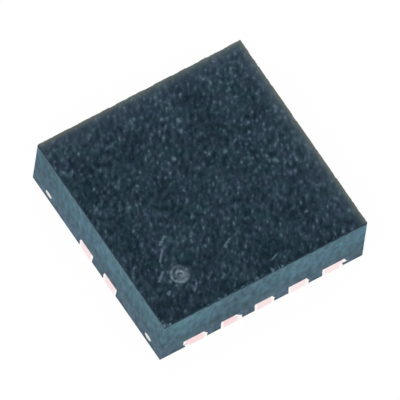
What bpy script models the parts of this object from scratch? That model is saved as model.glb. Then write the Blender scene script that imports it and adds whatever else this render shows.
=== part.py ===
"""A leadless DC-DC converter package: moulded body, etched lead frame, die and bond wires.

Metres, +Z up. The origin is at the centre of the footprint, on the plane of the solder lands.
X runs along the two rows of terminals. Terminal 1 is at the -X end of the -Y row, and the
numbers run anticlockwise, seen from above.
"""

import math

import bmesh
import bpy

MM = 0.001

# Moulded body
BODY_X = 3.0 * MM
BODY_Y = 3.0 * MM
TOTAL_HEIGHT = 0.88 * MM
STAND_OFF = 0.015 * MM  # the lands stand this far below the mould
EDGE_BREAK = 0.01 * MM
SEAM = 0.002 * MM  # clearance where two pieces meet

# Pin 1 mark, two rings sunk in the top
MARK_FROM_SIDE = 0.570 * MM
MARK_FROM_FRONT = 0.549 * MM
MARK_OUTER_RADIUS = 0.13 * MM
MARK_INNER_RADIUS = 0.062 * MM
MARK_LINE = 0.032 * MM
MARK_DEPTH = 0.014 * MM
MARK_LEAN = 0.005 * MM  # how far a ring's walls lean in
MARK_STEPS = 32

# Lead frame, one etched copper sheet
FRAME_THICKNESS = 0.19 * MM
ETCH_DEPTH = 0.09 * MM  # taken from below where the sheet is half etched
ETCH_FILLET = 0.012 * MM
ETCH_STEPS = 3
CORNER_STEPS = 4
MOST_ROUND = 0.95  # the share of a side that a fillet may take
FRAME_OFFSET_X = 0.045 * MM  # the saw cut the package this far off the frame's middle
FRAME_OFFSET_Y = -0.03 * MM

# Terminals
TERMINALS_PER_ROW = 5
PITCH = 0.5 * MM
LAND_WIDTH = 0.27 * MM
LAND_LENGTH = 0.4 * MM
LAND_END_RADIUS = 0.115 * MM
SIDE_LEDGE = 0.014 * MM
INNER_LEDGE = 0.035 * MM
WING = 0.07 * MM  # the corner terminals' extra width on the outside
ARM_WIDTH = 0.15 * MM
ARM_FROM_FACE = 0.33 * MM
ARM_FILLET = 0.04 * MM

# Thermal pad
PAD_TO_SIDES = 0.3 * MM
PAD_TO_LANDS = 0.275 * MM
PAD_CORNER_RADIUS = 0.08 * MM
PAD_CHAMFER = 0.3 * MM  # the corner next to terminal 1
PAD_RIM = 0.05 * MM
LEG_WIDTH = 0.27 * MM
LEG_SPACING = 0.555 * MM
LEG_LEDGE = 0.015 * MM
LEG_FILLET = 0.05 * MM

# Die and its attach
DIE_TO_PAD_ENDS = 0.35 * MM
DIE_TO_PAD_SIDES = 0.225 * MM
DIE_THICKNESS = 0.2 * MM
DIE_SHIFT = -0.05 * MM  # towards the power end
ATTACH_THICKNESS = 0.025 * MM
ATTACH_FILLET = 0.04 * MM
ATTACH_WAIST = 0.024 * MM  # what is left of the fillet at half height
ATTACH_CORNER_RADIUS = 0.06 * MM

# Bond wires
WIRE_RADIUS = 0.0125 * MM
WIRE_BEVEL_STEPS = 2
WIRE_SHARP_ANGLE = math.radians(40)
BALL_RADIUS = 0.032 * MM
BALL_FOOT_RADIUS = 0.027 * MM
BALL_SHOULDER_RADIUS = 0.022 * MM
BALL_WAIST = 0.008 * MM  # the height of its widest section
BALL_HEIGHT = 0.02 * MM
NECK_HEIGHT = 0.03 * MM
STITCH_RADIUS = 0.0075 * MM
LOOP_HEIGHT = 0.195 * MM  # of the handle that lifts the loop, which stays lower
LOOP_TAIL = 0.55  # how high the stitch's handle stands, as a share of the drop
LOOP_SHARES = (0.0, 0.04, 0.62, 1.0)  # where the loop's handles stand between its ends
LOOP_POINTS = 8
BOND_INSET = 0.08 * MM  # ball centres from the die's edge
STITCH_FROM_END = 0.14 * MM  # stitch from the terminal's inner end
WIRE_SPREAD = 0.06 * MM  # half the gap of a doubled pair
GROUND_REACH = 0.2 * MM  # from the die's edge to the bond on the pad
GROUND_WIRES_Y = 0.25 * MM
DOUBLED_TERMINALS = (1, 2, 9, 10)

# Cutters run past the surfaces that they open
OVERCUT = 0.05 * MM

# Points closer than this are one point
WELD_DISTANCE = 0.00002 * MM

# What follows from these sizes
ROW_END = (TERMINALS_PER_ROW - 1) / 2 * PITCH
PAD_X = BODY_X - 2 * PAD_TO_SIDES
PAD_Y = BODY_Y - 2 * (LAND_LENGTH + PAD_TO_LANDS)
DIE_X = PAD_X + 2 * (PAD_RIM - DIE_TO_PAD_ENDS)
DIE_Y = PAD_Y + 2 * (PAD_RIM - DIE_TO_PAD_SIDES)
FRAME_PLACE = (FRAME_OFFSET_X, FRAME_OFFSET_Y, 0.0)
FRAME_REACH = OVERCUT + max(abs(FRAME_OFFSET_X), abs(FRAME_OFFSET_Y))
MOULD_BOTTOM = STAND_OFF
FRAME_TOP = FRAME_THICKNESS
ETCH_TOP = ETCH_DEPTH
ATTACH_BOTTOM = FRAME_TOP + SEAM
ATTACH_TOP = ATTACH_BOTTOM + ATTACH_THICKNESS
DIE_BOTTOM = ATTACH_TOP + SEAM
DIE_TOP = DIE_BOTTOM + DIE_THICKNESS


def clear_scene():
    """Remove what the scene holds."""
    for item in list(bpy.data.objects):
        bpy.data.objects.remove(item)


def new_collection(name, hidden=False):
    """A collection in the scene."""
    made = bpy.data.collections.new(name)
    made.hide_render = hidden
    bpy.context.scene.collection.children.link(made)
    return made


def new_material(name, colour, roughness, metallic):
    """A Principled material."""
    material = bpy.data.materials.new(name)
    material.use_nodes = True
    shader = material.node_tree.nodes["Principled BSDF"]
    shader.inputs["Base Color"].default_value = (*colour, 1.0)
    shader.inputs["Roughness"].default_value = roughness
    shader.inputs["Metallic"].default_value = metallic
    material.diffuse_color = (*colour, 1.0)
    return material


def add_object(name, mesh, collection, material=None, place=(0.0, 0.0, 0.0)):
    """An object that shows the mesh. Without a material it is a cutter."""
    made = bpy.data.objects.new(name, mesh)
    made.location = place
    collection.objects.link(made)
    if material is None:
        made.hide_render = True
        made.display_type = "WIRE"
    elif not mesh.materials:
        mesh.materials.append(material)
    return made


def mesh_from(name, shape):
    """The mesh of a bmesh, which is freed."""
    bmesh.ops.recalc_face_normals(shape, faces=shape.faces)
    mesh = bpy.data.meshes.new(name)
    shape.to_mesh(mesh)
    shape.free()
    return mesh


def mesh_of_curve(name, curve):
    """The curve's solid, its caps welded to its sides."""
    holder = bpy.data.objects.new(name, curve)
    bpy.context.scene.collection.objects.link(holder)
    graph = bpy.context.evaluated_depsgraph_get()
    raw = bpy.data.meshes.new_from_object(holder.evaluated_get(graph))
    bpy.data.objects.remove(holder)
    bpy.data.curves.remove(curve)
    shape = bmesh.new()
    shape.from_mesh(raw)
    bpy.data.meshes.remove(raw)
    bmesh.ops.remove_doubles(shape, verts=shape.verts, dist=WELD_DISTANCE)
    return mesh_from(name, shape)


def box_mesh(name, size, centre):
    """A box of this size round this centre."""
    shape = bmesh.new()
    bmesh.ops.create_cube(shape, size=1.0)
    bmesh.ops.scale(shape, vec=size, verts=shape.verts)
    bmesh.ops.translate(shape, vec=centre, verts=shape.verts)
    return mesh_from(name, shape)


def rounded(corners):
    """The outline through (x, y, radius) corners, with an arc at each corner that has a radius."""
    outline = []
    count = len(corners)
    for i, (x, y, radius) in enumerate(corners):
        if radius <= 0:
            outline.append((x, y))
            continue
        before = corners[i - 1]
        after = corners[(i + 1) % count]
        back = math.atan2(before[1] - y, before[0] - x)
        ahead = math.atan2(after[1] - y, after[0] - x)
        turn = (ahead - back + math.pi) % (2 * math.pi) - math.pi
        middle = back + turn / 2
        reach = radius / abs(math.sin(turn / 2))
        centre_x = x + reach * math.cos(middle)
        centre_y = y + reach * math.sin(middle)
        swing = math.copysign(math.pi - abs(turn), turn)
        for step in range(CORNER_STEPS + 1):
            angle = middle + math.pi + swing * (0.5 - step / CORNER_STEPS)
            outline.append((centre_x + radius * math.cos(angle), centre_y + radius * math.sin(angle)))
    return outline


def plate_mesh(name, corners, bottom, top):
    """A flat plate: the outline's face, extruded up."""
    shape = bmesh.new()
    face = shape.faces.new([shape.verts.new((x, y, bottom)) for x, y in rounded(corners)])
    raised = bmesh.ops.extrude_face_region(shape, geom=[face])["geom"]
    upper = [item for item in raised if isinstance(item, bmesh.types.BMVert)]
    bmesh.ops.translate(shape, vec=(0.0, 0.0, top - bottom), verts=upper)
    return mesh_from(name, shape)


def loft_mesh(name, sections):
    """A solid through like outlines, given as (height, outline) from the bottom up."""
    shape = bmesh.new()
    rings = [[shape.verts.new((x, y, height)) for x, y in outline] for height, outline in sections]
    for low, high in zip(rings, rings[1:]):
        for i, start in enumerate(low):
            following = (i + 1) % len(low)
            shape.faces.new((start, low[following], high[following], high[i]))
    shape.faces.new(rings[0])
    shape.faces.new(rings[-1])
    return mesh_from(name, shape)


def etched_foot(name, corners_at, bottom):
    """The full-thickness part of an etched piece, which flares out under its half-etched ledge."""
    sections = [(bottom, rounded(corners_at(0.0)))]
    for step in range(ETCH_STEPS + 1):
        angle = math.pi / 2 * step / ETCH_STEPS
        height = ETCH_TOP - ETCH_FILLET * (1 - math.sin(angle))
        sections.append((height, rounded(corners_at(ETCH_FILLET * (1 - math.cos(angle))))))
    inside = (ETCH_TOP + FRAME_TOP) / 2
    sections.append((inside, rounded(corners_at(ETCH_FILLET))))
    return loft_mesh(name, sections)


def apply_boolean(target, other, operation):
    """Join or cut the target with another object, which stays."""
    modifier = target.modifiers.new(operation.lower(), "BOOLEAN")
    modifier.operation = operation
    modifier.object = other
    modifier.solver = "EXACT"


def settled_mesh(name, item):
    """The mesh of an object with its modifiers worked in."""
    graph = bpy.context.evaluated_depsgraph_get()
    mesh = bpy.data.meshes.new_from_object(item.evaluated_get(graph))
    mesh.name = name
    return mesh


def joined_mesh(name, first, second):
    """The union of two meshes that overlap."""
    base = bpy.data.objects.new(name, first)
    extra = bpy.data.objects.new(name + "_extra", second)
    for item in (base, extra):
        bpy.context.scene.collection.objects.link(item)
    apply_boolean(base, extra, "UNION")
    mesh = settled_mesh(name, base)
    for item in (base, extra):
        bpy.data.objects.remove(item)
    return mesh


def end_radius(side, grow):
    """The radius at a terminal's inner end, where it has this half width."""
    return min(LAND_END_RADIUS + grow, MOST_ROUND * side)


def land_corners(grow, reach):
    """A terminal's solder land, in its own frame: the sawn face is at y = 0 and it points to +Y."""
    side = LAND_WIDTH / 2 + grow
    end = LAND_LENGTH + grow
    radius = end_radius(side, grow)
    return [(side, -reach, 0), (side, end, radius), (-side, end, radius), (-side, -reach, 0)]


def ledge_corners(arm_side, grow, reach):
    """A terminal's upper half. A corner terminal has a wing and an arm on one side, -1 or +1."""
    side = LAND_WIDTH / 2 + SIDE_LEDGE + grow
    end = LAND_LENGTH + INNER_LEDGE + grow
    radius = end_radius(side, grow)
    corners = [(side, -reach, 0), (side, end, radius)]
    if arm_side == 0:
        return corners + [(-side, end, radius), (-side, -reach, 0)]
    face = BODY_X / 2 - ROW_END + reach
    wing = LAND_WIDTH / 2 + WING + grow
    near = ARM_FROM_FACE - ARM_WIDTH / 2 - grow
    far = ARM_FROM_FACE + ARM_WIDTH / 2 + grow
    ease = MOST_ROUND * abs(end - far) / 2
    corners += [(-side, end, min(radius, ease)), (-side, far, min(ARM_FILLET, ease))]
    corners += [(-face, far, 0), (-face, near, 0)]
    corners += [(-wing, near, ARM_FILLET - grow), (-wing, -reach, 0)]
    if arm_side > 0:
        corners = [(-x, y, radius) for x, y, radius in reversed(corners)]
    return corners


def terminal_mesh(name, arm_side, grow, reach):
    """A terminal: the land, and over it the wider half-etched ledge that the mould grips."""
    foot = etched_foot(name, lambda flare: land_corners(grow + flare, reach), -reach)
    ledge = plate_mesh(name, ledge_corners(arm_side, grow, reach), ETCH_TOP - grow, FRAME_TOP + grow)
    return joined_mesh(name, foot, ledge)


def pad_corners(half_x, half_y, leg_half, chamfer, grow, reach):
    """The thermal pad with its four tie legs, anticlockwise from the chamfered corner."""
    x = half_x + grow
    y = half_y + grow
    face = BODY_X / 2 + reach
    inner = LEG_SPACING / 2 - leg_half - grow
    outer = LEG_SPACING / 2 + leg_half + grow
    radius = PAD_CORNER_RADIUS + grow
    fillet = LEG_FILLET - grow
    legs = [(x, -outer, fillet), (face, -outer, 0), (face, -inner, 0), (x, -inner, fillet)]
    legs += [(x, inner, fillet), (face, inner, 0), (face, outer, 0), (x, outer, fillet)]
    corners = [(-x + chamfer, -y, 0), (x, -y, radius)] + legs
    corners += [(x, y, radius), (-x, y, radius)]
    corners += [(-leg_x, -leg_y, leg_radius) for leg_x, leg_y, leg_radius in legs]
    return corners + [(-x, -y + chamfer, 0)]


def pad_mesh(name, grow, reach):
    """The thermal pad: its soldered face below, and a thinner rim round its top."""
    foot = etched_foot(
        name,
        lambda flare: pad_corners(PAD_X / 2, PAD_Y / 2, LEG_WIDTH / 2, PAD_CHAMFER, grow + flare, reach),
        -reach,
    )
    rim = plate_mesh(
        name,
        pad_corners(
            PAD_X / 2 + PAD_RIM, PAD_Y / 2 + PAD_RIM, LEG_WIDTH / 2 + LEG_LEDGE, PAD_CHAMFER, grow, reach
        ),
        ETCH_TOP - grow,
        FRAME_TOP + grow,
    )
    return joined_mesh(name, foot, rim)


def die_mesh(name, grow):
    """The die, sawn from its wafer."""
    size = (DIE_X + 2 * grow, DIE_Y + 2 * grow, DIE_THICKNESS + 2 * grow)
    return box_mesh(name, size, (DIE_SHIFT, 0.0, (DIE_BOTTOM + DIE_TOP) / 2))


def attach_mesh(name, grow):
    """The die attach, squeezed out into a sloping fillet round the die."""

    def outline(spread):
        x = DIE_X / 2 + spread + grow
        y = DIE_Y / 2 + spread + grow
        radius = ATTACH_CORNER_RADIUS + grow
        square = [(-x, -y), (x, -y), (x, y), (-x, y)]
        return rounded([(corner_x + DIE_SHIFT, corner_y, radius) for corner_x, corner_y in square])

    low = ATTACH_BOTTOM - grow
    high = ATTACH_TOP + grow
    waist = low + (high - low) / 2
    spreads = ((low, ATTACH_FILLET), (waist, ATTACH_WAIST), (high, 0.0))
    return loft_mesh(name, [(height, outline(spread)) for height, spread in spreads])


def loop_points(start, finish, grow):
    """A bond wire as (point, radius): ball on the die, neck, loop as a cubic curve, thin stitch."""
    x, y, base = start
    end_x, end_y, seat = finish
    neck = base + NECK_HEIGHT
    points = [
        ((x, y, base - grow), BALL_FOOT_RADIUS),
        ((x, y, base + BALL_WAIST), BALL_RADIUS),
        ((x, y, base + BALL_HEIGHT), BALL_SHOULDER_RADIUS),
        ((x, y, neck), WIRE_RADIUS),
    ]
    tip = seat + STITCH_RADIUS
    heights = (neck, base + LOOP_HEIGHT, tip + (neck - tip) * LOOP_TAIL, tip)
    for step in range(1, LOOP_POINTS + 1):
        t = step / LOOP_POINTS
        weights = ((1 - t) ** 3, 3 * t * (1 - t) ** 2, 3 * t * t * (1 - t), t**3)
        share = sum(weight * value for weight, value in zip(weights, LOOP_SHARES))
        height = sum(weight * value for weight, value in zip(weights, heights))
        radius = STITCH_RADIUS if step == LOOP_POINTS else WIRE_RADIUS
        points.append(((x + (end_x - x) * share, y + (end_y - y) * share, height), radius))
    return [(point, radius + grow) for point, radius in points]


def wire_mesh(name, start, finish, grow):
    """A bond wire, or the space that it takes in the mould."""
    curve = bpy.data.curves.new(name, "CURVE")
    curve.dimensions = "3D"
    curve.bevel_depth = WIRE_RADIUS
    curve.bevel_resolution = WIRE_BEVEL_STEPS
    curve.use_fill_caps = True
    route = loop_points(start, finish, grow)
    spline = curve.splines.new("POLY")
    spline.points.add(len(route) - 1)
    for point, (place, radius) in zip(spline.points, route):
        point.co = (*place, 1.0)
        point.radius = radius / WIRE_RADIUS
    return mesh_of_curve(name, curve)


def terminal_places():
    """(number, x, row side, arm side) of each terminal. The arm side is in the terminal's frame."""
    places = []
    for row_side in (-1, 1):
        for index in range(TERMINALS_PER_ROW):
            x = (ROW_END - index * PITCH) * row_side
            arm_side = {0: -1, TERMINALS_PER_ROW - 1: 1}.get(index, 0)
            number = index + 1 + (TERMINALS_PER_ROW if row_side > 0 else 0)
            places.append((number, x, row_side, arm_side))
    return places


def wire_places():
    """(name, start, finish) of each bond wire."""
    places = []
    ball_y = DIE_Y / 2 - BOND_INSET
    fan = (DIE_X / 2 - BOND_INSET - WIRE_SPREAD) / ROW_END
    stitch_y = BODY_Y / 2 - LAND_LENGTH - INNER_LEDGE + STITCH_FROM_END
    for number, x, row_side, _ in terminal_places():
        doubled = number in DOUBLED_TERMINALS
        spreads = {"a": -WIRE_SPREAD, "b": WIRE_SPREAD} if doubled else {"": 0.0}
        for suffix, spread in spreads.items():
            start = (DIE_SHIFT + fan * x + spread, row_side * ball_y, DIE_TOP + SEAM)
            finish = (x + spread, row_side * stitch_y, FRAME_TOP + SEAM)
            places.append((f"bond_wire_{number}{suffix}", start, finish))
    for index, y in enumerate((-GROUND_WIRES_Y, GROUND_WIRES_Y), start=1):
        edge = DIE_SHIFT + DIE_X / 2
        start = (edge - BOND_INSET, y, DIE_TOP + SEAM)
        places.append((f"ground_wire_{index}", start, (edge + GROUND_REACH, y, FRAME_TOP + SEAM)))
    return places


def mark_ring(name, outer, collection):
    """A turned cutter for one ring of the pin 1 mark."""
    shape = bmesh.new()
    top = TOTAL_HEIGHT + OVERCUT
    low = TOTAL_HEIGHT - MARK_DEPTH
    inner = outer - MARK_LINE
    profile = [(outer, top), (outer, TOTAL_HEIGHT), (outer - MARK_LEAN, low), (inner + MARK_LEAN, low)]
    profile += [(inner, TOTAL_HEIGHT), (inner, top)]
    points = [shape.verts.new((x, 0.0, z)) for x, z in profile]
    for i, point in enumerate(points):
        shape.edges.new((point, points[(i + 1) % len(points)]))
    mesh = bpy.data.meshes.new(name)
    shape.to_mesh(mesh)
    shape.free()
    ring = add_object(name, mesh, collection)
    ring.location = (MARK_FROM_SIDE - BODY_X / 2, MARK_FROM_FRONT - BODY_Y / 2, 0.0)
    turn = ring.modifiers.new("turn", "SCREW")
    turn.steps = MARK_STEPS
    turn.render_steps = MARK_STEPS
    turn.use_merge_vertices = True
    turn.merge_threshold = WELD_DISTANCE
    return ring


def mould_block(name):
    """The sawn block, with its upper edges just broken."""
    shape = bmesh.new()
    height = TOTAL_HEIGHT - MOULD_BOTTOM
    bmesh.ops.create_cube(shape, size=1.0)
    bmesh.ops.scale(shape, vec=(BODY_X, BODY_Y, height), verts=shape.verts)
    bmesh.ops.translate(shape, vec=(0.0, 0.0, MOULD_BOTTOM + height / 2), verts=shape.verts)
    rim = [edge for edge in shape.edges if min(vertex.co.z for vertex in edge.verts) > height / 2]
    bmesh.ops.bevel(
        shape, geom=rim, offset=EDGE_BREAK, segments=1, profile=0.5, affect="EDGES", material=-1
    )
    return mesh_from(name, shape)


def saw_outline():
    """The block that the saw leaves, from the lands' plane up. The frame is cut to it."""
    mesh = box_mesh("saw_outline", (BODY_X, BODY_Y, TOTAL_HEIGHT), (0.0, 0.0, TOTAL_HEIGHT / 2))
    return add_object("saw_outline", mesh, new_collection("saw", hidden=True))


def place_terminal(item, x, row_side):
    """Stand a terminal at its place in its row."""
    item.location = (x + FRAME_OFFSET_X, row_side * BODY_Y / 2 + FRAME_OFFSET_Y, 0.0)
    item.rotation_euler = (0.0, 0.0, 0.0 if row_side < 0 else math.pi)


def build_terminals(parts, cutters, saw, plated):
    """Both rows of terminals and their pockets in the mould."""
    sides = (-1, 0, 1)
    meshes = {side: terminal_mesh("terminal", side, 0.0, FRAME_REACH) for side in sides}
    pockets = {side: terminal_mesh("terminal_pocket", side, SEAM, FRAME_REACH) for side in sides}
    for number, x, row_side, arm_side in terminal_places():
        terminal = add_object(f"terminal_{number}", meshes[arm_side], parts, plated)
        place_terminal(terminal, x, row_side)
        apply_boolean(terminal, saw, "INTERSECT")
        pocket = add_object(f"terminal_pocket_{number}", pockets[arm_side], cutters)
        place_terminal(pocket, x, row_side)


def build_pad(parts, cutters, saw, plated):
    """The thermal pad and its pocket."""
    pad = add_object("thermal_pad", pad_mesh("thermal_pad", 0.0, FRAME_REACH), parts, plated, FRAME_PLACE)
    apply_boolean(pad, saw, "INTERSECT")
    pocket = pad_mesh("pad_pocket", SEAM, FRAME_REACH)
    add_object("pad_pocket", pocket, cutters, place=FRAME_PLACE)


def build_die(parts, cutters, silicon, silver_epoxy):
    """The die on its attach, and the space that they take."""
    for name, shape, material in (
        ("silicon_die", die_mesh, silicon),
        ("die_attach", attach_mesh, silver_epoxy),
    ):
        add_object(name, shape(name, 0.0), parts, material, FRAME_PLACE)
        pocket = name + "_pocket"
        add_object(pocket, shape(pocket, SEAM), cutters, place=FRAME_PLACE)


def build_wires(parts, cutters, gold):
    """The bond wires and their tunnels."""
    for name, start, finish in wire_places():
        wire = add_object(name, wire_mesh(name, start, finish, 0.0), parts, gold, FRAME_PLACE)
        wire.data.shade_smooth()
        wire.data.set_sharp_from_angle(angle=WIRE_SHARP_ANGLE)
        tunnel = name + "_tunnel"
        add_object(tunnel, wire_mesh(tunnel, start, finish, SEAM), cutters, place=FRAME_PLACE)


def build_mould(parts, cutters, epoxy):
    """The moulded body, with a space in it for each piece that it holds."""
    mark_ring("mark_outer", MARK_OUTER_RADIUS, cutters)
    mark_ring("mark_inner", MARK_INNER_RADIUS, cutters)
    body = add_object("mould_body", mould_block("mould_body"), parts, epoxy)
    for cutter in cutters.objects:
        apply_boolean(body, cutter, "DIFFERENCE")


def main():
    """Build the package."""
    clear_scene()
    parts = new_collection("dc_dc_converter_chip")
    cutters = new_collection("cutters", hidden=True)
    epoxy = new_material("moulding_epoxy", colour=(0.022, 0.037, 0.05), roughness=0.55, metallic=0.0)
    plated = new_material("plated_copper", colour=(0.86, 0.72, 0.7), roughness=0.35, metallic=1.0)
    silicon = new_material("silicon", colour=(0.12, 0.13, 0.17), roughness=0.2, metallic=0.3)
    silver_epoxy = new_material(
        "silver_filled_epoxy", colour=(0.55, 0.55, 0.53), roughness=0.5, metallic=0.4
    )
    gold = new_material("gold_wire", colour=(0.83, 0.6, 0.22), roughness=0.25, metallic=1.0)
    saw = saw_outline()
    build_terminals(parts, cutters, saw, plated)
    build_pad(parts, cutters, saw, plated)
    build_die(parts, cutters, silicon, silver_epoxy)
    build_wires(parts, cutters, gold)
    build_mould(parts, cutters, epoxy)


main()
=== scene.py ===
"""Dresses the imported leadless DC-DC converter chip for its picture.

The CAD frame gives every piece its place. The moulded body, the terminals and the thermal
pad are rebuilt here with the relief that moulding, etching and sawing leave on them. The
die, its attach and the bond wires keep their CAD shapes and take finishes of their own.
Lengths are in metres, and a size that a maker would quote is written as a number of MM.
"""

import logging
import math
from dataclasses import dataclass, field
from enum import Enum, IntEnum

import bmesh
import bpy
import numpy as np
from mathutils import Matrix, Vector, noise

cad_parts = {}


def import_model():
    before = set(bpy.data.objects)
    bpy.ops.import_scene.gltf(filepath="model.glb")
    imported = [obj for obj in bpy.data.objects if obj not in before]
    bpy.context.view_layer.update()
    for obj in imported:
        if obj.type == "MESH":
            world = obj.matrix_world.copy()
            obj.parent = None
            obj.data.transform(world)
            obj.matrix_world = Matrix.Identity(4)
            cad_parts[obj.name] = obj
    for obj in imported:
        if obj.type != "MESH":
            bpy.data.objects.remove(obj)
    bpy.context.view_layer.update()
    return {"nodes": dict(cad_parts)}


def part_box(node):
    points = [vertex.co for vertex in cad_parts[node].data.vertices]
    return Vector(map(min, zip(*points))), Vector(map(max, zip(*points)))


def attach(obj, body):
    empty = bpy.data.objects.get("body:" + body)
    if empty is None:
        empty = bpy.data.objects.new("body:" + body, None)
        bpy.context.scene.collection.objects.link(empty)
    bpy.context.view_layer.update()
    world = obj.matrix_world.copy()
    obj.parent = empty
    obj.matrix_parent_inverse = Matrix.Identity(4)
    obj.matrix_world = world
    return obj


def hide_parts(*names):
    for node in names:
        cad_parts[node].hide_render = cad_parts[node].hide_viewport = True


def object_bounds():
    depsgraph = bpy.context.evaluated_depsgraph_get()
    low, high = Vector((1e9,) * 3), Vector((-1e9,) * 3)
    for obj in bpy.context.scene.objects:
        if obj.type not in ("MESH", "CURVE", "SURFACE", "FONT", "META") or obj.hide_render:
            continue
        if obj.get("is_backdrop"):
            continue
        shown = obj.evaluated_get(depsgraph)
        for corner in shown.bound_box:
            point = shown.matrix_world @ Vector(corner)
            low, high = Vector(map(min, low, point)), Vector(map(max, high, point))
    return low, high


MM = 0.001
LOG = logging.getLogger("converter_chip")

Ramp = tuple[tuple[float, str], ...]
Span = tuple[float, float]
Socket = bpy.types.NodeSocket
Inputs = dict[str, Socket | float]


def linear(code: str) -> tuple[float, float, float, float]:
    """Turns an sRGB hex colour into the linear values that a shader takes.

    Args:
        code: The colour, as "#rrggbb".

    Returns:
        Red, green and blue, and an alpha of one.
    """
    shares = [int(code[at : at + 2], 16) / 255 for at in (1, 3, 5)]
    red, green, blue = (s / 12.92 if s <= 0.04045 else ((s + 0.055) / 1.055) ** 2.4 for s in shares)
    return red, green, blue, 1.0


def add_node(
    tree: bpy.types.NodeTree, kind: str, inputs: dict | None = None, stops: Ramp = (), **settings
) -> bpy.types.Node:
    """Adds one shader node with its settings, values and links.

    Args:
        tree: The node tree that it goes into.
        kind: The node's type name.
        inputs: For each input, by its name or number, a value or the output that feeds it.
        stops: The places and colours of a ramp.
        settings: The node's own properties.

    Returns:
        The new node.
    """
    node = tree.nodes.new(kind)
    for key, value in settings.items():
        setattr(node, key, value)
    for key, value in (inputs or {}).items():
        if isinstance(value, Socket):
            tree.links.new(value, node.inputs[key])
        else:
            node.inputs[key].default_value = value
    for number, (place, code) in enumerate(stops):
        elements = node.color_ramp.elements
        stop = elements[number] if number < 2 else elements.new(place)
        stop.position, stop.color = place, linear(code)
    return node


@dataclass(frozen=True)
class Nodes:
    """A node tree, with a short way to add each step that the finishes share."""

    tree: bpy.types.NodeTree

    def point(self) -> Socket:
        """Where a point of the piece is."""
        return add_node(self.tree, "ShaderNodeTexCoord").outputs["Object"]

    def layer(self, name: str) -> Socket:
        """What the mesh stores under a name at a point."""
        return add_node(self.tree, "ShaderNodeAttribute", attribute_name=name).outputs["Fac"]

    def ramp(self, value: Socket, stops: Ramp) -> Socket:
        """The colour that a ramp gives to a value."""
        return add_node(self.tree, "ShaderNodeValToRGB", {"Fac": value}, stops=stops).outputs[0]

    def work_out(self, operation: str, *values: Socket | float, clamp: bool = False) -> Socket:
        """Does one step of arithmetic."""
        settings = {"operation": operation, "use_clamp": clamp}
        return add_node(self.tree, "ShaderNodeMath", dict(enumerate(values)), **settings).outputs[0]

    def remap(self, value: Socket, to: Span, since: Span = (0.0, 1.0)) -> Socket:
        """Maps one span of values to another, and holds what lies past its ends."""
        ends = {"From Min": since[0], "From Max": since[1], "To Min": to[0], "To Max": to[1]}
        return add_node(self.tree, "ShaderNodeMapRange", {"Value": value, **ends}).outputs[0]

    def mix(self, share: Socket | float, under: Socket, over: Socket | tuple, blend: str = "MIX") -> Socket:
        """Lays a share of one colour over another."""
        inputs = {0: share, 6: under, 7: over}
        return add_node(self.tree, "ShaderNodeMix", inputs, data_type="RGBA", blend_type=blend).outputs[2]

    def bump(self, height: Socket, distance: float, strength: float = 0.4) -> Socket:
        """Relief finer than the mesh, as high as a distance."""
        inputs = {"Height": height, "Strength": strength, "Distance": distance}
        return add_node(self.tree, "ShaderNodeBump", inputs).outputs[0]

    def scaled(self, place: Socket, *size: float) -> Socket:
        """A place measured in grains that have a length along each axis, or one for all three."""
        lengths = size if len(size) == 3 else size * 3
        inputs = {"Vector": place, "Scale": lengths}
        return add_node(self.tree, "ShaderNodeMapping", inputs, vector_type="TEXTURE").outputs[0]

    def grain(self, place: Socket, *size: float, detail: float = 0.0) -> Socket:
        """Adds a noise whose grains have a real size, and whose value is 0.5 on average."""
        inputs = {"Vector": self.scaled(place, *size), "Scale": 1.0, "Detail": detail}
        return add_node(self.tree, "ShaderNodeTexNoise", inputs).outputs[0]

    def cut_point(self) -> tuple[Socket, Socket]:
        """Where a point lies on a saw cut.

        Along every side just one of x and y changes, so their sum runs along the cut.

        Returns:
            Its place along and up the cut, and its height alone.
        """
        axes = add_node(self.tree, "ShaderNodeSeparateXYZ", {0: self.point()}).outputs
        run = self.work_out("ADD", axes[0], axes[1])
        return add_node(self.tree, "ShaderNodeCombineXYZ", {0: run, 2: axes[2]}).outputs[0], axes[2]

    def shown(self, light: bpy.types.Node, white: bpy.types.Node) -> Socket:
        """Tells the rays that show the white room from those that light the object.

        Args:
            light: The shader for the rays that light the object.
            white: The shader for camera, glossy and transmission rays.

        Returns:
            The shader that is both.
        """
        rays = add_node(self.tree, "ShaderNodeLightPath").outputs
        mirrored = self.work_out("MAXIMUM", rays["Is Glossy Ray"], rays["Is Transmission Ray"])
        seen = self.work_out("MAXIMUM", rays["Is Camera Ray"], mirrored)
        inputs = {0: seen, 1: light.outputs[0], 2: white.outputs[0]}
        return add_node(self.tree, "ShaderNodeMixShader", inputs).outputs[0]


class Zone(IntEnum):
    """How a face of the mould was made. The number is its material slot."""

    RELEASED = 0
    SKIN = 1
    SAWN = 2


class Cut(IntEnum):
    """How a face of the lead frame was made. The number is its material slot."""

    PLATED = 0
    SAWN = 1


class Side(Enum):
    """The four sawn sides, by the way that each one faces."""

    FRONT = (0, -1)
    RIGHT = (1, 0)
    BACK = (0, 1)
    LEFT = (-1, 0)

    @property
    def outwards(self) -> Vector:
        """The side's normal."""
        return Vector((*self.value, 0.0))

    @property
    def along(self) -> Vector:
        """The way that the saw blade ran: to +X or to +Y, through the whole strip."""
        return Vector((abs(self.value[1]), abs(self.value[0]), 0.0))

    @property
    def number(self) -> int:
        """The side's place in the round, which tells its noises from the other sides'."""
        return list(Side).index(self)


# Finishes


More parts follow.
